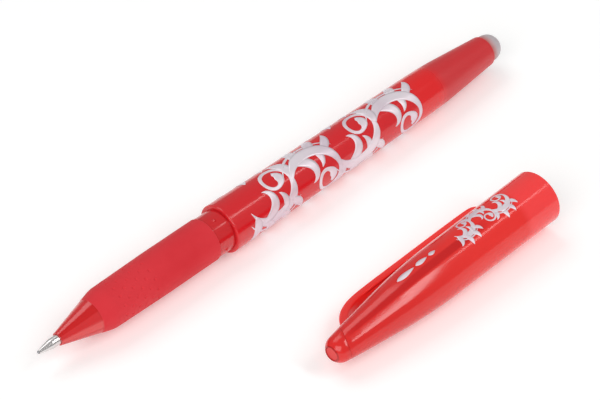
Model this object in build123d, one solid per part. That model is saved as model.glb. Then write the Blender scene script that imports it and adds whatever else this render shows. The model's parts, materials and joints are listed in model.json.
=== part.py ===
from build123d import *
import math
import os

# Fabric marking pen with its cap off and lying beside it. Millimetres.
# +X runs from the writing tip to the eraser, +Z is up, and both pieces lie on Z = 0.
# The origin is the middle of the bottom face of the box round the whole object.
# Pen stations are distances from the tip; cap stations are distances from the cap's mouth.

# pen, outside
penLength = 142.0
barrelRadius = 5.72
noseStart = 5.5
noseRimRadius = 1.45
gripStart = 14.7
gripStartRadius = 3.93
shoulderAt = 17.9
shoulderRadius = 4.78
gripParallelAt = 32.0
gripRadius = 5.0
gripEnd = 47.4
gripCoreRadius = 4.0
gripCoreStart = 18.9
gripLedge = 0.7
collarRadius = 4.83
stepAt = 51.9
collarGap = 0.05
spigotRadius = 4.45
threadRadius = 4.6
threadPitch = 1.3
threadRings = 5
spigotEnd = 61.0
snapBumps = 4
snapBumpTurn = 12
snapBumpRadius = 0.45
snapBumpAt = 49.3
snapBumpHeight = 0.28
firstDimpleAt = 20.3
dimpleRings = 6
dimplesPerRing = 14
dimplePitch = 1.8
dimpleBallRadius = 0.6
dimpleDepth = 0.14

# barrel
barrelBoreRadius = 4.65
barrelBoreEnd = 63.0
barrelHollowRadius = 4.25
barrelHollowEnd = 118.0
barrelInnerEnd = 127.5
barrelInnerEndRadius = 3.1
tailEdgeAt = 136.9
tailRimAt = 137.6
tailRimRadius = 3.2
stemStart = 129.5
stemRadius = 2.5
stemPocketRadius = 2.55
domeRadius = 3.22

# refill
ballRadius = 0.35
ballGap = 0.02
tipConeEnd = 3.6
tipBodyRadius = 1.12
tipRunningGap = 0.05
tipEnd = 12.0
tipBoreRadius = 0.45
holderStart = 10.4
holderNoseRadius = 1.85
holderNoseLength = 3.0
holderShoulder = 19.0
holderEnd = 25.5
tubeRadius = 3.0
tubeBoreRadius = 2.45
tubeEnd = 108.0
refillGap = 0.08
inkStart = 25.5
inkEnd = 84.0
followerEnd = 92.0
plugStart = 104.5
plugEnd = 110.5
followerGap = 0.05
springWire = 0.05
springCoilRadius = 0.28
springTurns = 9

# cap
capLength = 65.2
mouthRadius = 6.2
mouthBoreRadius = 5.15
mouthBoreLength = 30.0
crownDomeRadius = 3.05
domeMeets = 9.25
recessRadius = 1.6
recessDepth = 0.7
seamAt = 60.5
seamSlant = 28.6
crownSpigotRadius = 2.1
crownSpigotStart = 57.5
snapGrooveAt = 2.3
snapGrooveRadius = 5.3
clipHeight = 10.1
clipThickness = 2.1
clipWidth = 3.8
clipTipAt = 9.6
clipBeadHeight = 1.65
clipPivotAt = 53.0
clipPivotRadius = 7.0
clipPivotSlant = 33.0
clipKnuckleRadius = 1.2
clipKnuckleGap = 0.05
clipBelowLevel = 20.0
capTilt = 1.5
mouthX = 34.3
rowSpacing = 42.7

# where the pen's and the cap's axes lie, so that the box round both is centred on the origin
penX = -penLength / 2
penY = (rowSpacing + mouthRadius - barrelRadius) / 2
penZ = barrelRadius
capY = penY - rowSpacing


def turned(outline):
    """The solid that a closed outline of (station, radius) points makes when it is turned."""
    return revolve(make_face(Polyline(*outline, close=True)), axis=Axis.X)


def turnedEdges(edges):
    """The same for an outline that has curves in it."""
    return revolve(make_face(edges), axis=Axis.X)


def ring(start, end, outer, inner):
    return turned([(start, inner), (start, outer), (end, outer), (end, inner)])


def frontSection():
    """Nose cone, core, collar and spigot in one moulding, bored through for the refill."""
    bore = tipBodyRadius + tipRunningGap
    holderBore = tubeRadius + refillGap
    body = turned([
        (noseStart, bore),
        (noseStart, noseRimRadius),
        (gripStart, gripStartRadius),
        (gripStart, gripStartRadius - gripLedge),
        (gripCoreStart, gripCoreRadius),
        (gripEnd, gripCoreRadius),
        (gripEnd, collarRadius),
        (stepAt - collarGap, collarRadius),
        (stepAt - collarGap, spigotRadius),
        (spigotEnd - 0.5, spigotRadius),
        (spigotEnd, spigotRadius - 0.5),
        (spigotEnd, holderBore),
        (holderShoulder + refillGap, holderBore),
        (holderStart + holderNoseLength + 0.2, holderNoseRadius + 0.1),
        (holderStart - refillGap, holderNoseRadius + 0.1),
        (holderStart - refillGap, bore),
    ])
    for index in range(threadRings):
        start = stepAt + 1.2 + index * threadPitch
        body += turned([
            (start, spigotRadius - 0.1),
            (start + 0.3, threadRadius),
            (start + 0.6, threadRadius),
            (start + 0.9, spigotRadius - 0.1),
        ])
    bumpReach = collarRadius - snapBumpRadius + snapBumpHeight
    for bump in PolarLocations(bumpReach, snapBumps, start_angle=snapBumpTurn):
        place = bump.position
        body += Pos(snapBumpAt, place.X, place.Y) * Sphere(snapBumpRadius)
    return body


def gripSleeve():
    """Rubber sleeve: a cone, a shoulder, a slow taper and a parallel rear half."""
    sleeve = turned([
        (gripStart, gripStartRadius - gripLedge),
        (gripStart, gripStartRadius),
        (shoulderAt - 0.5, shoulderRadius - 0.14),
        (shoulderAt + 0.5, shoulderRadius + 0.01),
        (gripParallelAt, gripRadius),
        (gripEnd - 0.15, gripRadius),
        (gripEnd, gripRadius - 0.08),
        (gripEnd, gripCoreRadius),
        (gripCoreStart, gripCoreRadius),
    ])
    taper = (gripRadius - shoulderRadius) / (gripParallelAt - shoulderAt)
    for ringIndex in range(dimpleRings):
        station = firstDimpleAt + ringIndex * dimplePitch
        surface = shoulderRadius + taper * (station - shoulderAt)
        reach = surface + dimpleBallRadius - dimpleDepth
        turn = 180 / dimplesPerRing * (ringIndex % 2)
        for spot in PolarLocations(reach, dimplesPerRing, start_angle=turn):
            sleeve -= Pos(station, spot.position.X, spot.position.Y) * Sphere(dimpleBallRadius)
    return sleeve


def barrelShell():
    """Tapered tube with a rounded front edge, a slim tail and a pocket for the eraser's stem."""
    edge = 0.35
    sideStart = (stepAt + edge, barrelRadius)
    sideEnd = (tailEdgeAt - 0.5, 3.68)
    side = Spline(
        sideStart, (64.8, 5.5), (76.0, 5.4), (94.0, 5.28), (111.6, 5.14), (118.3, 5.06),
        (122.8, 4.8), (127.4, 4.4), (131.9, 4.0), sideEnd,
    )
    frontRound = RadiusArc((stepAt, barrelRadius - edge), sideStart, edge)
    tailRound = ThreePointArc(sideEnd, (tailEdgeAt + 0.42, tailRimRadius + 0.32), (tailRimAt, tailRimRadius))
    inside = Polyline(
        (tailRimAt, tailRimRadius),
        (tailRimAt, stemPocketRadius),
        (stemStart - 0.1, stemPocketRadius),
        (stemStart - 0.1, 0),
        (barrelInnerEnd, 0),
        (barrelInnerEnd, barrelInnerEndRadius),
        (barrelHollowEnd, barrelHollowRadius),
        (barrelBoreEnd, barrelHollowRadius),
        (barrelBoreEnd, barrelBoreRadius),
        (stepAt, barrelBoreRadius),
        (stepAt, barrelRadius - edge),
    )
    return turnedEdges([frontRound, side, tailRound, inside])


def eraserTip():
    """Rubber dome on a plain stem."""
    domeCentre = penLength - domeRadius
    lip = tailRimAt + 0.02
    outline = [
        Line((stemStart, 0), (stemStart, stemRadius - 0.4)),
        Line((stemStart, stemRadius - 0.4), (stemStart + 0.4, stemRadius)),
        Line((stemStart + 0.4, stemRadius), (lip, stemRadius)),
        Line((lip, stemRadius), (lip, domeRadius - 0.04)),
        Line((lip, domeRadius - 0.04), (domeCentre, domeRadius)),
        CenterArc((domeCentre, 0), domeRadius, 0, 90),
        Line((penLength, 0), (stemStart, 0)),
    ]
    return turnedEdges(outline)


def tipBall():
    return Pos(ballRadius, 0, 0) * Sphere(ballRadius)


def metalTip():
    """Turned cone with a ball socket, a straight body, and a bore for the ink and the spring."""
    body = turned([
        (0.28, 0),
        (0.28, 0.42),
        (tipConeEnd, tipBodyRadius),
        (tipEnd, tipBodyRadius),
        (tipEnd, tipBoreRadius),
        (2.2, tipBoreRadius),
        (1.9, 0.14),
        (0.28, 0.14),
    ])
    body -= Pos(ballRadius, 0, 0) * Sphere(ballRadius + ballGap)
    return body


def tipSpring():
    """Wire coil behind the ball, with a straight end that reaches the ball's seat."""
    coilStart = 2.6
    coilEnd = 8.0
    path = Helix(
        pitch=(coilEnd - coilStart) / springTurns, height=coilEnd - coilStart,
        radius=springCoilRadius, center=(coilStart, 0, 0), direction=(1, 0, 0),
    )
    start = path @ 0
    section = Plane(origin=start, z_dir=path % 0) * Circle(springWire)
    return sweep(section, path=path)


def tipHolder():
    """Stepped bush: a slim nose round the metal tip and a plug inside the refill tube."""
    return turned([
        (holderStart, tipBodyRadius),
        (holderStart, holderNoseRadius),
        (holderStart + holderNoseLength, holderNoseRadius),
        (holderShoulder, tubeRadius - 0.1),
        (holderShoulder + 1, tubeRadius - 0.05),
        (holderShoulder + 1, tubeBoreRadius),
        (holderEnd, tubeBoreRadius),
        (holderEnd, 0.8),
        (tipEnd, 0.8),
        (tipEnd, tipBodyRadius),
    ])


def refillTube():
    return ring(holderShoulder + 1, tubeEnd, tubeRadius, tubeBoreRadius)


def inkColumn():
    return ring(inkStart, inkEnd, tubeBoreRadius - followerGap, 0.05)


def inkFollower():
    return turned([
        (inkEnd, 0), (inkEnd, tubeBoreRadius - followerGap),
        (followerEnd, tubeBoreRadius - followerGap), (followerEnd + 0.8, 0),
    ])


def refillTailPlug():
    """Vented plug with a flange that covers the tube's end."""
    return turned([
        (plugStart, 0.5), (plugStart, tubeBoreRadius), (tubeEnd, tubeBoreRadius),
        (tubeEnd, tubeRadius), (plugEnd - 0.4, tubeRadius), (plugEnd, tubeRadius - 0.4), (plugEnd, 0.5),
    ])


def capOuter():
    """The cap's outer form as one solid, from the mouth at X = 0 to the closed end at -X."""
    domeCentre = crownDomeRadius - capLength
    lip = 0.25

    def onDome(angle):
        turn = math.radians(angle)
        return (domeCentre - crownDomeRadius * math.sin(turn), crownDomeRadius * math.cos(turn))

    side = Spline(
        (-lip, mouthRadius), (-16, 6.07), (-31, 5.98), (-36, 5.88), (-40, 5.71), (-44, 5.38),
        (-48, 4.95), (-52, 4.46), (-56, 3.94), (-59, 3.55), onDome(domeMeets),
    )
    edges = [
        Line((0, 0), (0, mouthRadius - lip)),
        RadiusArc((0, mouthRadius - lip), (-lip, mouthRadius), -lip),
        side,
        ThreePointArc(onDome(domeMeets), onDome(50), (-capLength, 0)),
        Line((-capLength, 0), (0, 0)),
    ]
    return turnedEdges(edges)


def capCavity():
    """The room inside the cap: a straight bore, a taper and the crown's socket."""
    return turned([
        (1, 0), (1, mouthBoreRadius + 0.3), (0, mouthBoreRadius + 0.3), (-0.3, mouthBoreRadius),
        (-snapGrooveAt + 0.5, mouthBoreRadius), (-snapGrooveAt + 0.3, snapGrooveRadius),
        (-snapGrooveAt - 0.3, snapGrooveRadius), (-snapGrooveAt - 0.5, mouthBoreRadius),
        (-mouthBoreLength, mouthBoreRadius), (-36, 4.95), (-44, 4.4), (-50, 3.65), (-crownSpigotStart, 2.75),
        (-crownSpigotStart, crownSpigotRadius), (-capLength, crownSpigotRadius), (-capLength, 0),
    ])


def crownSide():
    """Everything on the closed end's side of the slanted joint, which lies furthest back under the clip."""
    slab = Pos(-25, 0, 0) * Box(50, 40, 40)
    return Pos(-seamAt, 0, 0) * Rot(0, seamSlant, 0) * slab


def clipBlank():
    """The clip with its foot, as one solid standing on the cap's axis towards +Z."""
    inner = clipHeight - clipThickness
    half = clipWidth / 2
    beadFront = (-clipTipAt - 1.6, inner - clipBeadHeight + 0.3)
    beadBack = (-clipTipAt - 3.6, inner - clipBeadHeight + 0.3)
    with BuildSketch(Plane.XZ) as sketch:
        with BuildLine():
            outerBend = Spline(
                (-58.3, 2.8), (-55.9, 6.0), (-53.6, 7.9), (-50.8, 9.3), (-47.5, clipHeight),
                tangents=((0.35, 1), (1, 0)),
            )
            Polyline((-47.5, clipHeight), (-clipTipAt - 1.4, clipHeight))
            RadiusArc((-clipTipAt - 1.4, clipHeight), (-clipTipAt, clipHeight - 1.4), 1.4)
            Polyline((-clipTipAt, clipHeight - 1.4), (-clipTipAt, inner - 0.2), beadFront)
            ThreePointArc(beadFront, (-clipTipAt - 2.6, inner - clipBeadHeight), beadBack)
            Polyline(beadBack, (-clipTipAt - 6.5, inner), (-46.9, inner))
            Spline(
                (-46.9, inner), (-50.1, 7.33), (-52.5, 6.13), (-54.4, 4.57), (-55.6, 2.8),
                tangents=((-1, 0), (-0.35, -1)),
            )
            Line((-55.6, 2.8), (-58.3, 2.8))
        make_face()
    blank = extrude(sketch.sketch, amount=half, both=True)
    sideEdges = blank.edges().filter_by(lambda edge: abs(edge.center().Y) > half - 0.01)
    outside = [edge for edge in sideEdges if edge.center().Z > inner + 0.6]
    return chamfer(outside, 0.3)


def knuckle(radius):
    """A short cylinder across the clip at the line that its arm bends about."""
    return Pos(-clipPivotAt, 0, clipPivotRadius) * Rot(90, 0, 0) * Cylinder(radius, 30)


def footSide():
    """The half space on the foot's side of the bending line."""
    slab = Pos(-20, 0, 0) * Box(40, 30, 60)
    return Pos(-clipPivotAt, 0, clipPivotRadius) * Rot(0, -clipPivotSlant, 0) * slab


def capPieces():
    """The cap's five solids in the cap's own frame, with the clip towards +Z."""
    outer = capOuter()
    blank = clipBlank()
    arm = (blank - footSide()) + (blank & footSide() & knuckle(clipKnuckleRadius))
    foot = (blank & footSide()) - knuckle(clipKnuckleRadius + clipKnuckleGap)
    shell = (outer + foot) - capCavity() - crownSide()
    recess = Pos(-capLength, 0, 0) * Rot(0, 90, 0) * Cylinder(recessRadius, 2 * (recessDepth + 0.45))
    crown = (outer & crownSide()) - recess
    crown += turned([
        (-crownSpigotStart, 0), (-crownSpigotStart, crownSpigotRadius), (-seamAt - 1.2, crownSpigotRadius),
        (-seamAt - 1.2, 0),
    ])
    innerCap = turned([
        (-38.5, 3.75), (-38.5, 4.1), (-44, 3.95), (-50, 3.65), (-crownSpigotStart, 2.75),
        (-crownSpigotStart, 0), (-54.6, 0), (-54.6, 1.9), (-51.2, 1.9), (-51.2, 2.4), (-44, 3.5),
    ])
    seal = ring(-54.6, -52.6, 1.9, 0)
    return {"cap_shell": shell, "cap_clip": arm, "cap_crown": crown, "inner_cap": innerCap, "nib_seal": seal}


def layCapDown(pieces):
    """Turn the clip to one side, tilt the mouth up and set the cap down on Z = 0."""
    turnClip = -(90 + clipBelowLevel)
    laid = {name: Rot(0, -capTilt, 0) * Rot(turnClip, 0, 0) * solid for name, solid in pieces.items()}
    lowest = min(solid.bounding_box().min.Z for solid in laid.values())
    print("mouth centre height", round(-lowest, 3))
    return {name: Pos(mouthX, capY, -lowest) * solid for name, solid in laid.items()}


def penPieces():
    pieces = {
        "front_section": frontSection(),
        "grip_sleeve": gripSleeve(),
        "barrel": barrelShell(),
        "eraser_tip": eraserTip(),
        "metal_tip": metalTip(),
        "tip_ball": tipBall(),
        "tip_spring": tipSpring(),
        "tip_holder": tipHolder(),
        "refill_tube": refillTube(),
        "ink_column": inkColumn(),
        "ink_follower": inkFollower(),
        "refill_tail_plug": refillTailPlug(),
    }
    return {name: Pos(penX, penY, penZ) * solid for name, solid in pieces.items()}


def main():
    os.makedirs("parts", exist_ok=True)
    for name, solid in {**penPieces(), **layCapDown(capPieces())}.items():
        export_step(solid, f"parts/{name}.step")


main()
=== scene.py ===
# Marking pen with its cap off: the looks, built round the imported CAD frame.
import bmesh
import bpy
import json
import math
from mathutils import Matrix, Quaternion, Vector
from mathutils.bvhtree import BVHTree


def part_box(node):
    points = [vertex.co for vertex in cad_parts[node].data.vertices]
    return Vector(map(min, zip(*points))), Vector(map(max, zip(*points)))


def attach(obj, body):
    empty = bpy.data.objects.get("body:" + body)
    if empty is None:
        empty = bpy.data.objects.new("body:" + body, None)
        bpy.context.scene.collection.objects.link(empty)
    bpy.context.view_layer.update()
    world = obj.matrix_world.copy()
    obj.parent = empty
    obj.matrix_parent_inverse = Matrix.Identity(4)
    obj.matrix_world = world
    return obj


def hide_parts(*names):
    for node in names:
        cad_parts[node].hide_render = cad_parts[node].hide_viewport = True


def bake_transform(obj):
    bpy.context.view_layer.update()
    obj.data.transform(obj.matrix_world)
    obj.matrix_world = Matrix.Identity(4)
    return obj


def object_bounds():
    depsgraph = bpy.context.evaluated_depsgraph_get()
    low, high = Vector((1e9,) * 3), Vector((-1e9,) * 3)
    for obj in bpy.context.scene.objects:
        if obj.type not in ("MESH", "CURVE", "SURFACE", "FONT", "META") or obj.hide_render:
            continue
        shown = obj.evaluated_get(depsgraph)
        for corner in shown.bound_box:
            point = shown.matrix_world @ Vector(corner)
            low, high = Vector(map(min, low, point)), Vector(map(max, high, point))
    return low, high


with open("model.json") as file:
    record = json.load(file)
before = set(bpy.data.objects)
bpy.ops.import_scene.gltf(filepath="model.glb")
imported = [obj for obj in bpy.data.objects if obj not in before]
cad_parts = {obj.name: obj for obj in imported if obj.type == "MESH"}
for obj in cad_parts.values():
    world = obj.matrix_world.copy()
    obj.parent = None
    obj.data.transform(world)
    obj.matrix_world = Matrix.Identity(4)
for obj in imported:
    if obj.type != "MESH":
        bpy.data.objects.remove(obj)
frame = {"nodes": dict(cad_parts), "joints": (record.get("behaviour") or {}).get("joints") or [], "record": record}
cadLow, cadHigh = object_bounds()
record = frame["record"]
mm = 0.001

# the pen's own frame: millimetres from the writing tip, X along the axis to the eraser
tipLow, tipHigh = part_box("tip_ball")
barrelLow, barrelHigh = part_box("barrel")
penAxis = (barrelLow + barrelHigh) / 2
penPlace = Matrix.Translation((tipLow.x, penAxis.y, penAxis.z)) @ Matrix.Scale(mm, 4)

# the cap's own frame: millimetres from the mouth, closed end towards -X, clip towards +Z
mounts = {mount["name"]: mount for mount in record["mounts"]}
joints = {joint["name"]: joint for joint in frame["joints"]}
capAxis = Vector(mounts["cap_mouth"]["axis"]).normalized()
borePoint = Vector(mounts["cap_mouth"]["pos_m"])
rimPoint = Vector(mounts["cap_rim"]["pos_m"])
mouthPoint = borePoint + capAxis * (rimPoint - borePoint).dot(capAxis)
clipPivot = Vector(joints["clip_flex"]["pos_m"])
toClip = clipPivot - mouthPoint
clipWay = (toClip - capAxis * toClip.dot(capAxis)).normalized()
capTurn = Matrix((capAxis, clipWay.cross(capAxis), clipWay)).transposed().to_4x4()
capPlace = Matrix.Translation(mouthPoint) @ capTurn @ Matrix.Scale(mm, 4)
print("frame loaded:", len(frame["nodes"]), "CAD nodes")


def linearColour(hexColour):
    channels = [int(hexColour[i:i + 2], 16) / 255 for i in (1, 3, 5)]
    return [c / 12.92 if c <= 0.04045 else ((c + 0.055) / 1.055) ** 2.4 for c in channels] + [1.0]


def addNode(tree, kind, inputs=None, **settings):
    # adds a node, sets its properties, and fills or links its sockets
    node = tree.nodes.new(kind)
    for name, value in settings.items():
        setattr(node, name, value)
    for name, value in (inputs or {}).items():
        if isinstance(value, bpy.types.NodeSocket):
            tree.links.new(value, node.inputs[name])
        else:
            node.inputs[name].default_value = value
    return node


def newMaterial(name, place, plain):
    # a Principled material with its flat settings, and a coordinate socket in the millimetres of place
    material = bpy.data.materials.new(name)
    material.use_nodes = True
    tree = material.node_tree
    tree.nodes.clear()
    shader = addNode(tree, "ShaderNodeBsdfPrincipled", plain)
    addNode(tree, "ShaderNodeOutputMaterial", {"Surface": shader.outputs[0]})
    objectPoint = addNode(tree, "ShaderNodeTexCoord").outputs["Object"]
    point = addNode(tree, "ShaderNodeMapping", {
        "Vector": objectPoint, "Location": place.to_translation(), "Rotation": place.to_euler(),
        "Scale": place.to_scale(),
    }, vector_type="TEXTURE").outputs[0]
    return material, tree, shader, point


def mixColours(tree, share, first, second):
    mix = addNode(tree, "ShaderNodeMix", {0: share, 6: first, 7: second}, data_type="RGBA")
    return mix.outputs[2]


def ramp(tree, value, low, high, start=0.0, end=1.0):
    # start below low, end above high, and a soft change between them
    node = addNode(tree, "ShaderNodeMapRange", {
        "Value": value, "From Min": low, "From Max": high, "To Min": start, "To Max": end,
    }, interpolation_type="SMOOTHSTEP")
    return node.outputs[0]


def product(tree, first, second):
    return addNode(tree, "ShaderNodeMath", {0: first, 1: second}, operation="MULTIPLY").outputs[0]


def near(tree, value, middle, half):
    # one within half of middle, with a soft fall to nothing at twice that
    offset = addNode(tree, "ShaderNodeMath", {0: value, 1: middle}, operation="SUBTRACT").outputs[0]
    away = addNode(tree, "ShaderNodeMath", {0: offset}, operation="ABSOLUTE").outputs[0]
    return ramp(tree, away, half, half * 2, 1.0, 0.0)


def grain(tree, point, size, detail=2.0):
    # noise whose lumps are about size millimetres across
    return addNode(tree, "ShaderNodeTexNoise", {
        "Vector": point, "Scale": 0.5 / size, "Detail": detail, "Roughness": 0.5,
    }).outputs["Fac"]


def bump(tree, shader, height, depth, below=None):
    # depth is the real height of the relief in millimetres
    inputs = {"Height": height, "Distance": depth * mm, "Strength": 1.0}
    if below:
        inputs["Normal"] = below
    node = addNode(tree, "ShaderNodeBump", inputs)
    tree.links.new(node.outputs[0], shader.inputs["Normal"])
    return node.outputs[0]


def stationOf(tree, point):
    return addNode(tree, "ShaderNodeSeparateXYZ", {"Vector": point}).outputs["X"]


# Tinted polycarbonate, injection moulded in a polished tool: deep red, a sharp thin gloss, faint flow
# clouds under the skin, and a frosted tail where the tool was spark eroded.
barrelPlastic = {
    "red": "#D71B24", "cloudRed": "#DC2128", "plainRed": "#E61B1D", "tailRed": "#D0252B",
    "plainFrom": 108.5, "plainTo": 112.5, "tailFrom": 117.0, "tailTo": 120.5, "cloudSize": 7.0,
    "gloss": 0.16, "frost": 0.42, "frostGrain": 0.22, "frostDepth": 0.012,
    "waveSize": 16.0, "waveDepth": 0.006,
}


def polishedPolycarbonate(look):
    material, tree, shader, point = newMaterial("polishedPolycarbonate", penPlace, {
        "IOR": 1.585, "Subsurface Weight": 0.08, "Subsurface Radius": (0.004, 0.0012, 0.001),
        "Subsurface Scale": 1.0,
    })
    station = stationOf(tree, point)
    clouds = grain(tree, point, look["cloudSize"])
    colour = mixColours(tree, clouds, linearColour(look["red"]), linearColour(look["cloudRed"]))
    plain = ramp(tree, station, look["plainFrom"], look["plainTo"])
    colour = mixColours(tree, plain, colour, linearColour(look["plainRed"]))
    tail = ramp(tree, station, look["tailFrom"], look["tailTo"])
    colour = mixColours(tree, tail, colour, linearColour(look["tailRed"]))
    tree.links.new(colour, shader.inputs["Base Color"])
    rough = ramp(tree, station, look["tailFrom"], look["tailTo"], look["gloss"], look["frost"])
    tree.links.new(rough, shader.inputs["Roughness"])
    wave = bump(tree, shader, grain(tree, point, look["waveSize"], 0.0), look["waveDepth"])
    frost = product(tree, grain(tree, point, look["frostGrain"]), tail)
    bump(tree, shader, frost, look["frostDepth"], below=wave)
    return material


# The same resin, clearer, in the nose and collar: ribs on the inside show through as darker stripes, and a paler
# streak between them is a painted highlight.
frontPlastic = {
    "red": "#D42A2D", "ribRed": "#CB1214", "highlightStreakRed": "#DE4443", "collarRed": "#D01F25", "noseEnd": 16.0,
    "ribs": 3, "ribTurn": 24.0, "ribFrom": 0.62, "ribTo": 0.87, "highlightStreakFrom": -0.7, "highlightStreakTo": -0.9,
    "gloss": 0.1, "cloudSize": 4.0, "waveDepth": 0.012,
}


def ribbedClearPolycarbonate(look):
    material, tree, shader, point = newMaterial("ribbedClearPolycarbonate", penPlace, {
        "IOR": 1.585, "Roughness": look["gloss"], "Subsurface Weight": 0.15,
        "Subsurface Radius": (0.004, 0.0012, 0.001), "Subsurface Scale": 1.0,
    })
    axes = addNode(tree, "ShaderNodeSeparateXYZ", {"Vector": point}).outputs
    angle = addNode(tree, "ShaderNodeMath", {0: axes["Y"], 1: axes["Z"]}, operation="ARCTAN2").outputs[0]
    turned = addNode(tree, "ShaderNodeMath", {
        0: angle, 1: float(look["ribs"]), 2: math.radians(look["ribTurn"]) * look["ribs"],
    }, operation="MULTIPLY_ADD").outputs[0]
    wave = addNode(tree, "ShaderNodeMath", {0: turned}, operation="COSINE").outputs[0]
    rib = ramp(tree, wave, look["ribFrom"], look["ribTo"])
    # painted highlight: a pale streak halfway between the ribs, fixed on the nose
    pale = ramp(tree, wave, look["highlightStreakFrom"], look["highlightStreakTo"])
    nose = ramp(tree, axes["X"], look["noseEnd"], look["noseEnd"] + 1, 1.0, 0.0)
    colour = mixColours(tree, nose, linearColour(look["collarRed"]), linearColour(look["red"]))
    colour = mixColours(tree, product(tree, pale, nose), colour, linearColour(look["highlightStreakRed"]))
    colour = mixColours(tree, product(tree, rib, nose), colour, linearColour(look["ribRed"]))
    tree.links.new(colour, shader.inputs["Base Color"])
    bump(tree, shader, grain(tree, point, look["cloudSize"]), look["waveDepth"])
    return material


# Cap resin: a brighter, milkier red, with painted light towards the open mouth and brighter still round it,
# where light comes through a single thin wall with nothing inside it. Painted shade: a dark lengthwise band,
# a dark ring at the edge of the end recess, and dark sunk lines along the clip.
capPlastic = {
    "red": "#DB2321", "cloudRed": "#E02A27", "mouthRed": "#FB4242", "mouthFrom": -11.0, "mouthTo": -8.4,
    "thinWallLightRed": "#EF302B", "thinFrom": -50.0, "thinTo": -20.0,
    "shadeBandRed": "#CC1A1A", "shadeBandTurn": -123.0, "shadeBandHalf": 6.0,
    "shadeBandFrom": -62.0, "shadeBandTo": -16.0, "shadeBandRise": 4.0, "shadeBandFall": 8.0,
    "recessShadeRed": "#B41717", "rimRadius": 1.68, "rimHalf": 0.16, "rimFrom": -63.6, "rimFade": 0.6,
    "grooveShadeRed": "#A81A1B", "lineAt": 1.28, "lineHalf": 0.09, "lineHeight": 7.2, "lineFade": 0.2,
    "lineFrom": -47.0, "lineTo": -12.5, "lineRise": 3.0, "lineFall": 2.0,
    "gloss": 0.14, "cloudSize": 9.0, "waveSize": 18.0, "waveDepth": 0.005,
}


def milkyPolypropylene(name, look, glow):
    # glow stands for the light that comes through a thin wall from behind
    material, tree, shader, point = newMaterial(name, capPlace, {
        "IOR": 1.49, "Roughness": look["gloss"], "Subsurface Weight": 0.12,
        "Subsurface Radius": (0.005, 0.0015, 0.0012), "Subsurface Scale": 1.0,
        "Emission Color": linearColour(look["red"]), "Emission Strength": glow,
    })
    clouds = grain(tree, point, look["cloudSize"])
    colour = mixColours(tree, clouds, linearColour(look["red"]), linearColour(look["cloudRed"]))
    axes = addNode(tree, "ShaderNodeSeparateXYZ", {"Vector": point}).outputs
    # painted light: brighter towards the mouth, for the light that comes through the thinner wall
    thin = ramp(tree, axes["X"], look["thinFrom"], look["thinTo"])
    colour = mixColours(tree, thin, colour, linearColour(look["thinWallLightRed"]))
    mouth = ramp(tree, axes["X"], look["mouthFrom"], look["mouthTo"])
    colour = mixColours(tree, mouth, colour, linearColour(look["mouthRed"]))
    flat = addNode(tree, "ShaderNodeCombineXYZ", {"Y": axes["Y"], "Z": axes["Z"]}).outputs[0]
    radius = addNode(tree, "ShaderNodeVectorMath", {0: flat}, operation="LENGTH").outputs["Value"]
    # painted shade: a dark ring at the edge of the end recess
    rim = near(tree, radius, look["rimRadius"], look["rimHalf"])
    rimEnd = ramp(tree, axes["X"], look["rimFrom"] - look["rimFade"], look["rimFrom"], 1.0, 0.0)
    rim = product(tree, rim, rimEnd)
    colour = mixColours(tree, rim, colour, linearColour(look["recessShadeRed"]))
    # painted shade: a dark lengthwise band along one side of the cap
    turn = addNode(tree, "ShaderNodeMath", {0: axes["Y"], 1: axes["Z"]}, operation="ARCTAN2").outputs[0]
    band = near(tree, turn, math.radians(look["shadeBandTurn"]), math.radians(look["shadeBandHalf"]))
    shadeBandStart = ramp(tree, axes["X"], look["shadeBandFrom"], look["shadeBandFrom"] + look["shadeBandRise"])
    shadeBandEnd = ramp(tree, axes["X"], look["shadeBandTo"] - look["shadeBandFall"], look["shadeBandTo"], 1.0, 0.0)
    band = product(tree, product(tree, band, shadeBandStart), shadeBandEnd)
    colour = mixColours(tree, band, colour, linearColour(look["shadeBandRed"]))
    # painted shade: dark lines along the clip for the shade in its sunk lines
    aside = addNode(tree, "ShaderNodeMath", {0: axes["Y"]}, operation="ABSOLUTE").outputs[0]
    line = near(tree, aside, look["lineAt"], look["lineHalf"])
    high = ramp(tree, axes["Z"], look["lineHeight"], look["lineHeight"] + look["lineFade"])
    lineStart = ramp(tree, axes["X"], look["lineFrom"], look["lineFrom"] + look["lineRise"])
    lineEnd = ramp(tree, axes["X"], look["lineTo"] - look["lineFall"], look["lineTo"], 1.0, 0.0)
    line = product(tree, product(tree, line, high), product(tree, lineStart, lineEnd))
    colour = mixColours(tree, line, colour, linearColour(look["grooveShadeRed"]))
    tree.links.new(colour, shader.inputs["Base Color"])
    bump(tree, shader, grain(tree, point, look["waveSize"], 0.0), look["waveDepth"])
    return material


# Thermoplastic elastomer moulded over the grip: no gloss, a fine even tooth and a little dust-pale sheen.
gripRubber = {"red": "#D51B28", "wornRed": "#DB2732", "patch": 8.0, "tooth": 0.16, "toothDepth": 0.02}


def matteElastomer(look):
    material, tree, shader, point = newMaterial("matteElastomer", penPlace, {
        "IOR": 1.5, "Roughness": 0.72, "Sheen Weight": 0.03, "Sheen Roughness": 0.5,
    })
    worn = ramp(tree, grain(tree, point, look["patch"], 4.0), 0.35, 0.7)
    colour = mixColours(tree, worn, linearColour(look["red"]), linearColour(look["wornRed"]))
    tree.links.new(colour, shader.inputs["Base Color"])
    bump(tree, shader, grain(tree, point, look["tooth"]), look["toothDepth"])
    return material


# Hot-stamped pearl foil: a pale silver skin a few hundredths thick, half metallic, that drifts from
# lilac to a cooler grey and lets a little of its satin grain show.
stampedFoil = {"silver": "#EFE5EC", "lilac": "#E4D3DE", "drift": 5.0, "satin": 0.3, "satinDepth": 0.006}


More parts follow.
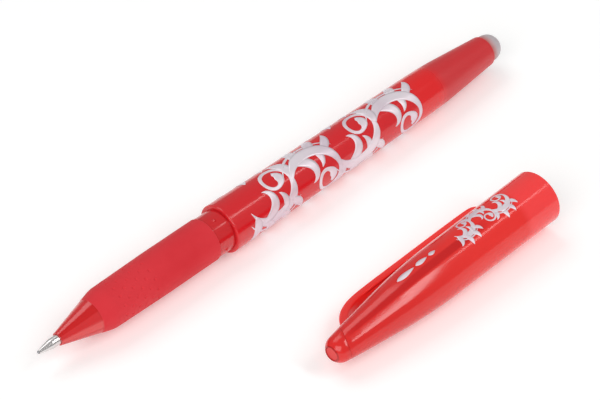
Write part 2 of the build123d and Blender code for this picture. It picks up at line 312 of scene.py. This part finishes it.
def hotStampedFoil(name, place, look):
    material, tree, shader, point = newMaterial(name, place, {"Metallic": 0.35, "Roughness": 0.42})
    drift = ramp(tree, grain(tree, point, look["drift"], 3.0), 0.35, 0.65)
    colour = mixColours(tree, drift, linearColour(look["silver"]), linearColour(look["lilac"]))
    tree.links.new(colour, shader.inputs["Base Color"])
    bump(tree, shader, grain(tree, point, look["satin"]), look["satinDepth"])
    return material


# Eraser elastomer: grey, cloudy and half clear, with painted light on its foot: a red tint for the red rim's light
# coming through it.
eraserRubber = {
    "grey": "#B9B0B2", "pale": "#C2B6BB", "redRimLight": "#C07C79", "redRimLightEnd": 139.4,
    "patch": 2.2, "tooth": 0.2, "toothDepth": 0.01,
}


def cloudyElastomer(look, rim):
    material, tree, shader, point = newMaterial("cloudyElastomer", penPlace, {
        "IOR": 1.5, "Roughness": 0.4, "Subsurface Weight": 0.35,
        "Subsurface Radius": (0.0025, 0.0018, 0.0018), "Subsurface Scale": 1.0,
    })
    patches = grain(tree, point, look["patch"])
    colour = mixColours(tree, patches, linearColour(look["grey"]), linearColour(look["pale"]))
    # painted light: the red rim's light reddening the foot
    foot = ramp(tree, stationOf(tree, point), rim, look["redRimLightEnd"], 1.0, 0.0)
    colour = mixColours(tree, foot, colour, linearColour(look["redRimLight"]))
    tree.links.new(colour, shader.inputs["Base Color"])
    bump(tree, shader, grain(tree, point, look["tooth"]), look["toothDepth"])
    return material


# Free-cutting nickel silver, turned on a lathe: a soft bright line along it, broken by fine tool rings.
# The real rings are about 0.03 mm apart; here they are 0.14 mm, so that they show.
nickelSilver = {"metal": "#DEDAD9", "ringPitch": 0.14, "ringDepth": 0.004}


def turnedNickelSilver(look):
    material, tree, shader, point = newMaterial("turnedNickelSilver", penPlace, {
        "Base Color": linearColour(look["metal"]), "Metallic": 1.0, "Roughness": 0.27,
        "Anisotropic": 0.3,
    })
    rings = addNode(tree, "ShaderNodeTexWave", {
        "Vector": point, "Scale": 1 / (look["ringPitch"] * math.pi), "Distortion": 0.4, "Detail": 1.0,
    }, wave_type="BANDS", bands_direction="X").outputs["Fac"]
    bump(tree, shader, rings, look["ringDepth"])
    return material


# Small plain finishes for what sits inside: each has its own colour, gloss and grain.
innerFinishes = {
    "lappedCarbideBall": {"colour": "#8E8E92", "second": "#9C9CA0", "grain": 0.2, "depth": 0.001,
                          "plain": {"Metallic": 1.0, "Roughness": 0.12}},
    "drawnSteelWire": {"colour": "#A9A9AD", "second": "#96969A", "grain": 0.1, "depth": 0.001,
                       "plain": {"Metallic": 1.0, "Roughness": 0.3}},
    "mouldedWhitePolyacetal": {"colour": "#E9E8E4", "second": "#F1F0EE", "grain": 1.5, "depth": 0.004,
                               "plain": {"IOR": 1.48, "Roughness": 0.36}},
    "extrudedNaturalPolypropylene": {"colour": "#F6F2F1", "second": "#F1ECEB", "grain": 6.0, "depth": 0.002,
                                     "plain": {"IOR": 1.49, "Roughness": 0.08, "Transmission Weight": 0.9}},
    "redGelInk": {"colour": "#A5101C", "second": "#8E0C18", "grain": 3.0, "depth": 0.002,
                  "plain": {"IOR": 1.36, "Roughness": 0.1}},
    "followerGrease": {"colour": "#E4DCC3", "second": "#DCD2B6", "grain": 1.2, "depth": 0.004,
                       "plain": {"IOR": 1.47, "Roughness": 0.25}},
    "mouldedRedLiner": {"colour": "#D14343", "second": "#D94F4D", "grain": 3.0, "depth": 0.006,
                        "plain": {"IOR": 1.49, "Roughness": 0.4}},
    "softSealRubber": {"colour": "#BDB8B4", "second": "#C6C1BD", "grain": 0.6, "depth": 0.008,
                       "plain": {"IOR": 1.5, "Roughness": 0.7}},
}


def innerFinish(name, place):
    look = innerFinishes[name]
    material, tree, shader, point = newMaterial(name, place, look["plain"])
    patches = grain(tree, point, look["grain"])
    colour = mixColours(tree, patches, linearColour(look["colour"]), linearColour(look["second"]))
    tree.links.new(colour, shader.inputs["Base Color"])
    bump(tree, shader, patches, look["depth"])
    return material


barrelRed = polishedPolycarbonate(barrelPlastic)
frontRed = ribbedClearPolycarbonate(frontPlastic)
capRed = milkyPolypropylene("milkyPolypropylene", capPlastic, 0.0)
clipRed = milkyPolypropylene("milkyPolypropyleneArm", capPlastic, 0.2)
gripRed = matteElastomer(gripRubber)
barrelFoil = hotStampedFoil("stampedPearlFoil", penPlace, stampedFoil)
capFoil = hotStampedFoil("stampedPearlFoilOnCap", capPlace, stampedFoil)
print("materials made")


def turnOutline(outline, closed, turns=128):
    # outline: (station, radius, corner rounding) in millimetres, turned about X
    bm = bmesh.new()
    corners = [bm.verts.new((station, 0, radius)) for station, radius, rounding in outline]
    for first, second in zip(corners, corners[1:] + corners[:1] if closed else corners[1:]):
        bm.edges.new((first, second))
    for corner, (station, radius, rounding) in zip(corners, outline):
        if rounding:
            bmesh.ops.bevel(
                bm, geom=[corner], offset=rounding, offset_type="OFFSET", segments=6 + int(rounding * 1.5),
                profile=0.5, affect="VERTICES", material=-1,
            )
    bmesh.ops.spin(
        bm, geom=bm.verts[:] + bm.edges[:], cent=(0, 0, 0), axis=(1, 0, 0), angle=math.tau,
        steps=turns, use_merge=True,
    )
    bmesh.ops.remove_doubles(bm, verts=bm.verts, dist=0.0005)
    bmesh.ops.recalc_face_normals(bm, faces=bm.faces)
    return bm


def makePiece(bm, name, place, material):
    bmesh.ops.transform(bm, matrix=place, verts=bm.verts)
    mesh = bpy.data.meshes.new(name)
    bm.to_mesh(mesh)
    bm.free()
    mesh.shade_smooth()
    mesh.materials.append(material)
    piece = bpy.data.objects.new(name, mesh)
    bpy.context.scene.collection.objects.link(piece)
    return piece


def flattenFaces(piece):
    # wide faces keep their own direction, so rounded edges beside them don't shade them
    modifier = piece.modifiers.new("wideFacesFlat", "WEIGHTED_NORMAL")
    modifier.mode = "FACE_AREA"
    modifier.weight = 80


def sweepRow(bm, row, frames):
    # grows a row of edges, standing in frames[0], through the other frames
    for before, after in zip(frames, frames[1:]):
        grown = bmesh.ops.extrude_edge_only(bm, edges=row)["geom"]
        moved = {part for part in grown if isinstance(part, bmesh.types.BMVert)}
        edges = [part for part in grown if isinstance(part, bmesh.types.BMEdge)]
        row = [edge for edge in edges if edge.verts[0] in moved and edge.verts[1] in moved]
        bmesh.ops.transform(bm, matrix=after @ before.inverted(), verts=list(moved))
    return row


barrel = {
    "front": 51.9, "frontRadius": 5.72, "frontRounding": 0.35, "waist": (64.0, 5.49, 5.0),
    "taper": (119.2, 5.07, 5.0), "tailCorner": (137.6, 3.6, 0.42), "pocketRadius": 2.55, "pocketEnd": 129.4,
    "hollow": [(127.5, 3.1, 0.3), (118.0, 4.25, 3.0), (63.3, 4.25, 0.2), (63.0, 4.65, 0.1)],
    "boreRadius": 4.65,
}


def makeBarrel():
    look = barrel
    outline = [(look["hollow"][0][0], 0.0, 0.0), *look["hollow"]]
    outline += [(look["front"], look["boreRadius"], 0.12)]
    outline += [(look["front"], look["frontRadius"], look["frontRounding"])]
    outline += [look["waist"], look["taper"], look["tailCorner"]]
    outline += [(look["tailCorner"][0], look["pocketRadius"], 0.1)]
    outline += [(look["pocketEnd"], look["pocketRadius"], 0.1), (look["pocketEnd"], 0.0, 0.0)]
    bm = turnOutline(outline, closed=False)
    skin = BVHTree.FromBMesh(bm)
    piece = makePiece(bm, "barrel_tube", penPlace, barrelRed)
    flattenFaces(piece)
    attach(piece, "barrel")
    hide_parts("barrel")
    return skin


barrelSkin = makeBarrel()

eraser = {
    "stemEnd": 129.5, "stemRadius": 2.5, "lip": 137.62, "footRadius": 3.17, "domeRadius": 3.22, "tip": 142.0,
}


def makeEraser():
    look = eraser
    radius = look["domeRadius"]
    centre = look["tip"] - radius
    turns = [math.radians(angle) for angle in range(0, 90, 5)]
    dome = [(centre + radius * math.sin(turn), radius * math.cos(turn), 0.0) for turn in turns]
    outline = [(look["stemEnd"], 0.0, 0.0), (look["stemEnd"], look["stemRadius"], 0.4)]
    outline += [(look["lip"], look["stemRadius"], 0.0), (look["lip"], look["footRadius"], 0.15)]
    outline += [*dome, (look["tip"], 0.0, 0.0)]
    bm = turnOutline(outline, closed=False, turns=96)
    rubber = cloudyElastomer(eraserRubber, look["lip"])
    piece = makePiece(bm, "eraser_dome", penPlace, rubber)
    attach(piece, "barrel")
    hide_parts("eraser_tip")


makeEraser()
print("barrel and eraser made")


def makeInk():
    # vertices at its two ends only
    low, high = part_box("ink_column")
    front, back = (low.x - tipLow.x) / mm, (high.x - tipLow.x) / mm
    radius = (high.z - low.z) / 2 / mm
    outline = [(front, 0.0, 0.0), (front, radius, 0.0), (back, radius, 0.0), (back, 0.0, 0.0)]
    bm = turnOutline(outline, closed=False)
    piece = makePiece(bm, "ink_fill", penPlace, innerFinish("redGelInk", penPlace))
    flattenFaces(piece)
    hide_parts("ink_column")
    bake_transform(piece)


makeInk()
print("ink made")


cap = {
    "mouthRadius": 6.2, "mouthRounding": 0.25, "taper": (-39.6, 5.92, 7.5), "neck": (-59.3, 3.51, 1.5),
    "domeCentre": -62.15, "domeRadius": 3.05, "domeFrom": 9, "domeTo": 58,
    "cavity": [
        (-65.0, 2.1, 0.0), (-57.5, 2.1, 0.1), (-57.5, 2.75, 0.1), (-50.0, 3.65, 2.0), (-44.0, 4.4, 2.0),
        (-36.0, 4.95, 2.0), (-30.0, 5.15, 1.0), (-2.8, 5.15, 0.1), (-2.6, 5.3, 0.0), (-2.0, 5.3, 0.0),
        (-1.8, 5.15, 0.1), (-0.3, 5.15, 0.1), (0.0, 5.45, 0.1),
    ],
    "seamAt": -60.5, "seamSlant": 28.6, "seamGap": 0.03, "seamRounding": 0.045,
    "leastWall": 0.8, "recessRadius": 1.6, "recessDepth": 0.7,
    "shellEnd": -65.0, "shellStep": 0.3, "crownFront": -55.0, "crownRadius": 4.05,
}


def domePoint(look, angle):
    turn, radius = math.radians(angle), look["domeRadius"]
    return (look["domeCentre"] - radius * math.sin(turn), radius * math.cos(turn), 0.0)


def seamPlane(look, shift):
    slant = math.radians(look["seamSlant"])
    return (look["seamAt"] + shift, 0, 0), (math.cos(slant), 0, -math.sin(slant))


def closeCut(bm, look):
    # joins the two rings that a cut leaves, or fills the one, and softens the new edges
    rims = [edge for edge in bm.edges if edge.is_boundary]
    corners = {vert for edge in rims for vert in edge.verts}
    radii = [math.hypot(vert.co.y, vert.co.z) for vert in corners]
    if min(radii) < max(radii) - look["leastWall"]:
        bmesh.ops.bridge_loops(bm, edges=rims)
    else:
        bmesh.ops.holes_fill(bm, edges=rims, sides=0)
    bmesh.ops.bevel(
        bm, geom=rims, offset=look["seamRounding"], offset_type="OFFSET", segments=2, profile=0.5,
        affect="EDGES", material=-1,
    )
    bmesh.ops.recalc_face_normals(bm, faces=bm.faces)


def makeCapShell():
    look = cap
    beyond = domePoint(look, look["domeFrom"])
    outline = [(0.0, look["mouthRadius"], look["mouthRounding"]), look["taper"], look["neck"], beyond]
    outline += [(look["shellEnd"], beyond[1] - look["shellStep"], 0.0), *look["cavity"]]
    bm = turnOutline(outline, closed=True)
    skin = BVHTree.FromBMesh(bm)
    point, away = seamPlane(look, look["seamGap"] / 2)
    bmesh.ops.bisect_plane(
        bm, geom=bm.verts[:] + bm.edges[:] + bm.faces[:], plane_co=point, plane_no=away, clear_inner=True,
    )
    closeCut(bm, look)
    piece = makePiece(bm, "cap_tube", capPlace, capRed)
    flattenFaces(piece)
    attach(piece, "cap")
    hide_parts("cap_shell")
    return skin


def makeCapCrown():
    look = cap
    dome = [domePoint(look, angle) for angle in range(look["domeFrom"], look["domeTo"], 5)]
    end = look["domeCentre"] - look["domeRadius"]
    recessEdge = look["domeCentre"] - math.sqrt(look["domeRadius"] ** 2 - look["recessRadius"] ** 2)
    floor = end + look["recessDepth"]
    outline = [(look["crownFront"], 0.0, 0.0), (look["crownFront"], look["crownRadius"], 0.0)]
    outline += [look["neck"], *dome]
    outline += [(recessEdge, look["recessRadius"], 0.08), (floor, look["recessRadius"], 0.15)]
    outline += [(floor, 0.0, 0.0)]
    bm = turnOutline(outline, closed=False)
    point, away = seamPlane(look, -look["seamGap"] / 2)
    bmesh.ops.bisect_plane(
        bm, geom=bm.verts[:] + bm.edges[:] + bm.faces[:], plane_co=point, plane_no=away, clear_outer=True,
    )
    closeCut(bm, look)
    piece = makePiece(bm, "cap_end_button", capPlace, capRed)
    flattenFaces(piece)
    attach(piece, "cap")
    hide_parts("cap_crown")


capSkin = makeCapShell()
makeCapCrown()

clip = {
    "width": 3.8, "thickness": 2.1, "edgeRounding": 0.45, "bendWay": (0.84, 0, 0.54), "bendHalf": 2.4,
    # outer and inner point of each section as (station, height over the axis), and the share of full width
    "sections": [
        ((-58.6, 2.2), (-55.9, 2.2), 1.0), ((-57.4, 4.3), (-55.1, 3.6), 1.0),
        ((-55.9, 6.1), (-54.2, 4.8), 1.0), ((-53.8, 7.9), (-52.6, 6.15), 1.0),
        ((-50.9, 9.35), (-50.1, 7.35), 1.0), ((-47.3, 10.05), (-46.9, 8.0), 1.0),
        ((-40.0, 10.1), (-40.0, 8.0), 1.0), ((-28.0, 10.1), (-28.0, 8.0), 1.0),
        ((-17.6, 10.1), (-17.4, 8.0), 1.0), ((-14.4, 10.1), (-14.2, 7.1), 1.0),
        ((-12.4, 10.1), (-12.3, 6.25), 1.0), ((-10.9, 9.9), (-10.7, 6.8), 0.98),
        ((-9.9, 9.2), (-9.8, 7.5), 0.86), ((-9.65, 8.8), (-9.62, 7.8), 0.6),
    ],
}


def sectionFrame(look, outer, inner, widthShare):
    outer, inner = Vector((outer[0], 0, outer[1])), Vector((inner[0], 0, inner[1]))
    up = (outer - inner).normalized()
    along = Vector((0, 1, 0)).cross(up)
    turn = Matrix((along, (0, 1, 0), up)).transposed().to_4x4()
    scale = Matrix.Diagonal((1, widthShare, (outer - inner).length / look["thickness"], 1))
    return Matrix.Translation((outer + inner) / 2) @ turn @ scale


def makeClip():
    look = clip
    frames = [sectionFrame(look, *section) for section in look["sections"]]
    bm = bmesh.new()
    halfWidth, halfThickness = look["width"] / 2, look["thickness"] / 2
    corners = [
        bm.verts.new((0, y * halfWidth, z * halfThickness)) for y, z in ((-1, -1), (1, -1), (1, 1), (-1, 1))
    ]
    bm.faces.new(corners)
    bmesh.ops.bevel(
        bm, geom=corners, offset=look["edgeRounding"], offset_type="OFFSET", segments=2, profile=0.5,
        affect="VERTICES", material=-1,
    )
    bmesh.ops.subdivide_edges(bm, edges=[edge for edge in bm.edges if edge.calc_length() > 1], cuts=2)
    bmesh.ops.transform(bm, matrix=frames[0], verts=bm.verts)
    bmesh.ops.delete(bm, geom=bm.faces[:], context="FACES_ONLY")
    first = bm.edges[:]
    last = sweepRow(bm, first, frames)
    for rim in (first, last):
        bmesh.ops.contextual_create(bm, geom=rim)
    bmesh.ops.recalc_face_normals(bm, faces=bm.faces)
    piece = makePiece(bm, "cap_clip_arm", capPlace, clipRed)
    smooth = piece.modifiers.new("smooth", "SUBSURF")
    smooth.levels = smooth.render_levels = 3
    settle(piece)
    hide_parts("cap_clip")
    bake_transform(piece)


def settle(piece):
    # keeps the shape that the modifiers give as the mesh itself
    evaluated = piece.evaluated_get(bpy.context.evaluated_depsgraph_get())
    mesh = bpy.data.meshes.new_from_object(evaluated)
    piece.modifiers.clear()
    piece.data = mesh
    mesh.shade_smooth()


makeClip()
print("cap made")


scrolls = {
    "facing": 38.9, "radius": 5.4, "lift": 0.03, "thickness": 0.05, "step": 0.5, "strip": 0.6,
    "rows": 2, "waves": 4, "firstAt": 57.2, "pitch": 13.2, "slope": 70.0, "vineWidth": 3.1,
    "spiralLength": 21.0, "spiralCurl": 1.2,
    "echoGap": 2.1, "echoWidth": 0.7, "echoLate": 12.0, "echoStretch": 1.05,
    "layers": 9, "layerStep": 0.004,
    # leaves: where on the arc they spring from, turn from it, length, width, bend, its growth
    "leaves": [
        (58, 14, 7.4, 2.5, 9.0, 0.6), (22, 30, 6.6, 2.6, 12.0, -1.0), (-14, 48, 6.0, 2.4, 9.0, 1.2),
        (-42, 60, 5.4, 2.1, 12.0, 0.0), (34, -32, 9.5, 2.3, -9.0, -1.9), (-20, -26, 5.2, 1.7, -16.0, -1.0),
    ],
}


def strokeFrames(start, heading, length, width, bend, curl, hold, swell):
    # bend in degrees per millimetre, which grows by curl for each millimetre past hold
    count = max(6, round(length / scrolls["step"]))
    pace = length / count
    x, y = start
    frames = []
    for index in range(count + 1):
        wide = max(width * swell(index / count), 0.06)
        turn = Matrix.Translation((x, y, 0)) @ Matrix.Rotation(math.radians(heading), 4, "Z")
        frames.append(turn @ Matrix.Diagonal((1, wide, 1, 1)))
        turning = (bend + curl * max(0, (index + 0.5) * pace - hold)) * pace
        x += pace * math.cos(math.radians(heading + turning / 2))
        y += pace * math.sin(math.radians(heading + turning / 2))
        heading += turning
    return frames


def addStroke(bm, layer, start, heading, length, width, bend, curl, hold, swell):
    frames = strokeFrames(start, heading, length, width, bend, curl, hold, swell)
    count = max(2, math.ceil(width / scrolls["strip"]))
    corners = [bm.verts.new((0, index / count - 0.5, layer)) for index in range(count + 1)]
    row = [bm.edges.new(pair) for pair in zip(corners, corners[1:])]
    bmesh.ops.transform(bm, matrix=frames[0], verts=corners)
    sweepRow(bm, row, frames)


def leaf(share):
    return math.sin(math.pi * share ** 0.75) ** 0.85


def volute(share):
    # starts from a point, swells over the arc, slims in the curl, and ends in a round eye
    eye = 0.5 * math.exp(-((share - 0.95) / 0.035) ** 2)
    body = 0.42 + 0.58 * math.sin(math.pi * min(1.0, share * 2.0)) - 0.2 * share + eye
    return body * min(1.0, share * 6) ** 0.7


def scrollStrokes(look):
    # a wave of arcs; each arc runs on into a curl inside its own hollow
    girth = math.tau * look["radius"]
    slope = math.radians(look["slope"])
    reach = look["pitch"] / 2 / math.sin(slope)
    arcLength = 2 * slope * reach
    for row in range(look["rows"]):
        for wave in range(look["waves"]):
            side = 1 if wave % 2 else -1
            start = Vector((look["firstAt"] + wave * look["pitch"], girth * row / look["rows"] - 1.0))
            centre = start + reach * Vector((math.sin(slope), -side * math.cos(slope)))
            yield (start, side * look["slope"], arcLength + look["spiralLength"], look["vineWidth"],
                   -side / math.radians(reach), -side * look["spiralCurl"], arcLength, volute)
            # a fine line that follows the arc outside it
            outer = reach + look["echoGap"]
            heading = look["slope"] - look["echoLate"]
            yield (onArc(centre, side, outer, heading), side * heading, arcLength * look["echoStretch"],
                   look["echoWidth"], -side / math.radians(outer), 0.0, 0.0, leaf)
            for spring, turn, length, width, bend, curl in look["leaves"]:
                yield (onArc(centre, side, reach, spring), side * (spring + turn), length, width,
                       side * bend, side * curl, 0.0, leaf)


def onArc(centre, side, reach, heading):
    # the point of a wave's arc where it runs at this heading
    turn = math.radians(side * heading)
    return centre + side * reach * Vector((-math.sin(turn), math.cos(turn)))


def wrapOnto(bm, skin, facing, radius, lift):
    # lays a flat drawing (station, arc length) on a turned surface
    bm.normal_update()
    bmesh.ops.reverse_faces(bm, faces=[face for face in bm.faces if face.normal.z < 0])
    for vert in bm.verts:
        station, arc, layer = vert.co
        angle = math.radians(facing) - arc / radius
        outward = Vector((0, -math.sin(angle), math.cos(angle)))
        hit = skin.ray_cast(Vector((station, 0, 0)) + outward * 20, -outward)[0]
        vert.co = hit + outward * (lift + layer)


def makeFoil(bm, name, place, material, body):
    piece = makePiece(bm, name, place, material)
    wall = piece.modifiers.new("thickness", "SOLIDIFY")
    wall.thickness = scrolls["thickness"] * mm
    wall.offset = -1
    flattenFaces(piece)
    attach(piece, body)


def makeBarrelScrolls():
    look = scrolls
    bm = bmesh.new()
    for index, stroke in enumerate(scrollStrokes(look)):
        addStroke(bm, index % look["layers"] * look["layerStep"], *stroke)
    wrapOnto(bm, barrelSkin, look["facing"], look["radius"], look["lift"])
    makeFoil(bm, "barrel_scroll_foil", penPlace, barrelFoil, "barrel")


makeBarrelScrolls()

# on the cap: a short run of the same scrolls, and a plain row of tapered dashes behind it
capPrint = {
    "radius": 6.1, "lift": 0.035, "scale": 0.42, "start": (-26.6, 5.3), "waves": 3, "layerStep": 0.008,
    "dashes": [(-44.2, 5.0, 5.2, 1.5), (-38.4, 5.0, 3.4, 1.3), (-34.4, 5.0, 2.0, 1.1)],
}


def makeCapScrolls():
    look = capPrint
    bm = bmesh.new()
    band = {**scrolls, "rows": 1, "waves": look["waves"], "firstAt": 0.0}
    for index, stroke in enumerate(scrollStrokes(band)):
        addStroke(bm, index % scrolls["layers"] * look["layerStep"], *stroke)
    bmesh.ops.scale(bm, vec=(look["scale"],) * 3, verts=bm.verts)
    bmesh.ops.translate(bm, vec=(*look["start"], 0), verts=bm.verts)
    for station, arc, length, width in look["dashes"]:
        addStroke(bm, 0.0, (station, arc), 0.0, length, width, 0.0, 0.0, 0.0, leaf)
    facing = math.radians(scrolls["facing"])
    ahead = capTurn.to_3x3().inverted() @ Vector((0, -math.sin(facing), math.cos(facing)))
    wrapOnto(bm, capSkin, math.degrees(math.atan2(-ahead.y, ahead.z)), look["radius"], look["lift"])
    makeFoil(bm, "cap_scroll_foil", capPlace, capFoil, "cap")


makeCapScrolls()
print("stamped scrolls made")


def dress(node, material):
    for slot in frame["nodes"][node].material_slots:
        slot.material = material


dress("front_section", frontRed)
dress("grip_sleeve", gripRed)
dress("metal_tip", turnedNickelSilver(nickelSilver))
dressedInside = {
    "tip_ball": "lappedCarbideBall", "tip_spring": "drawnSteelWire", "tip_holder": "mouldedWhitePolyacetal",
    "refill_tube": "extrudedNaturalPolypropylene", "refill_tail_plug": "mouldedWhitePolyacetal",
    "ink_follower": "followerGrease",
    "inner_cap": "mouldedRedLiner", "nib_seal": "softSealRubber",
}
finishes = {}
for node, finish in dressedInside.items():
    key = (finish, node in ("inner_cap", "nib_seal"))
    if key not in finishes:
        finishes[key] = innerFinish(finish, capPlace if key[1] else penPlace)
    dress(node, finishes[key])
print("CAD parts finished")


studio = {
    "floorSize": 2.4, "floorColour": "#F7F7F6", "fibreSize": 0.8, "fibreShade": 0.99,
    "floorGlow": 0.2, "worldStrength": 0.34,
    "lens": 165, "distance": 0.5964, "azimuth": -46.636, "elevation": 40.344, "aim": (0.0045, 0.0205, 0.0),
    # name: direction from the object, distance, size along the pen, size across, power, roll
    "lamps": {
        "softbox": ((0.3321, -0.5876, 0.7380), 0.734, 0.14, 0.48, 1.25, -35.5),
        "strip": ((0.542, -0.343, 0.767), 0.814, 0.09, 0.05, 0.08, 0.0),
        "overhead": ((0.0, 0.55, 0.85), 1.1, 0.9, 0.6, 3.0, 0.0),
        "fill": ((-0.75, -0.35, 0.56), 1.0, 0.8, 0.6, 4.4, 0.0),
    },
}


def makeFloor():
    bm = bmesh.new()
    bmesh.ops.create_grid(bm, x_segments=1, y_segments=1, size=studio["floorSize"] / 2)
    bmesh.ops.translate(bm, vec=(0, 0, cadLow.z), verts=bm.verts)
    mesh = bpy.data.meshes.new("paper_floor")
    bm.to_mesh(mesh)
    bm.free()
    material, tree, shader, point = newMaterial("matteWhitePaper", Matrix.Scale(mm, 4), {
        "Roughness": 0.9, "Emission Color": (1, 1, 1, 1), "Emission Strength": studio["floorGlow"],
    })
    fibres = grain(tree, point, studio["fibreSize"], 4.0)
    paper = linearColour(studio["floorColour"])
    fibreColour = [channel * studio["fibreShade"] for channel in paper[:3]] + [1.0]
    tree.links.new(mixColours(tree, fibres, paper, fibreColour), shader.inputs["Base Color"])
    mesh.materials.append(material)
    floor = bpy.data.objects.new("paper_floor", mesh)
    bpy.context.scene.collection.objects.link(floor)


def lookFrom(thing, place, target):
    thing.location = place
    thing.rotation_mode = "QUATERNION"
    thing.rotation_quaternion = (Vector(target) - Vector(place)).to_track_quat("-Z", "Y")


def makeStudio():
    scene = bpy.context.scene
    scene.view_settings.view_transform = "Standard"
    world = bpy.data.worlds.new("studioWhite")
    world.use_nodes = True
    world.node_tree.nodes["Background"].inputs["Color"].default_value = (1, 1, 1, 1)
    world.node_tree.nodes["Background"].inputs["Strength"].default_value = studio["worldStrength"]
    scene.world = world
    target = Vector(studio["aim"])
    for name, (way, distance, along, across, power, roll) in studio["lamps"].items():
        lamp = bpy.data.lights.new(name, "AREA")
        lamp.shape = "RECTANGLE"
        lamp.size, lamp.size_y = along, across
        lamp.energy = power
        holder = bpy.data.objects.new(name, lamp)
        scene.collection.objects.link(holder)
        lookFrom(holder, target + Vector(way).normalized() * distance, target)
        holder.rotation_quaternion @= Quaternion((0, 0, 1), math.radians(roll))
    turn, rise = math.radians(studio["azimuth"]), math.radians(studio["elevation"])
    back = Vector((math.sin(turn) * math.cos(rise), -math.cos(turn) * math.cos(rise), math.sin(rise)))
    camera = bpy.data.cameras.new("camera")
    camera.lens = studio["lens"]
    camera.sensor_width = 36
    eye = bpy.data.objects.new("camera", camera)
    scene.collection.objects.link(eye)
    lookFrom(eye, target + back * studio["distance"], target)
    scene.camera = eye


makeFloor()
makeStudio()
print("studio ready")
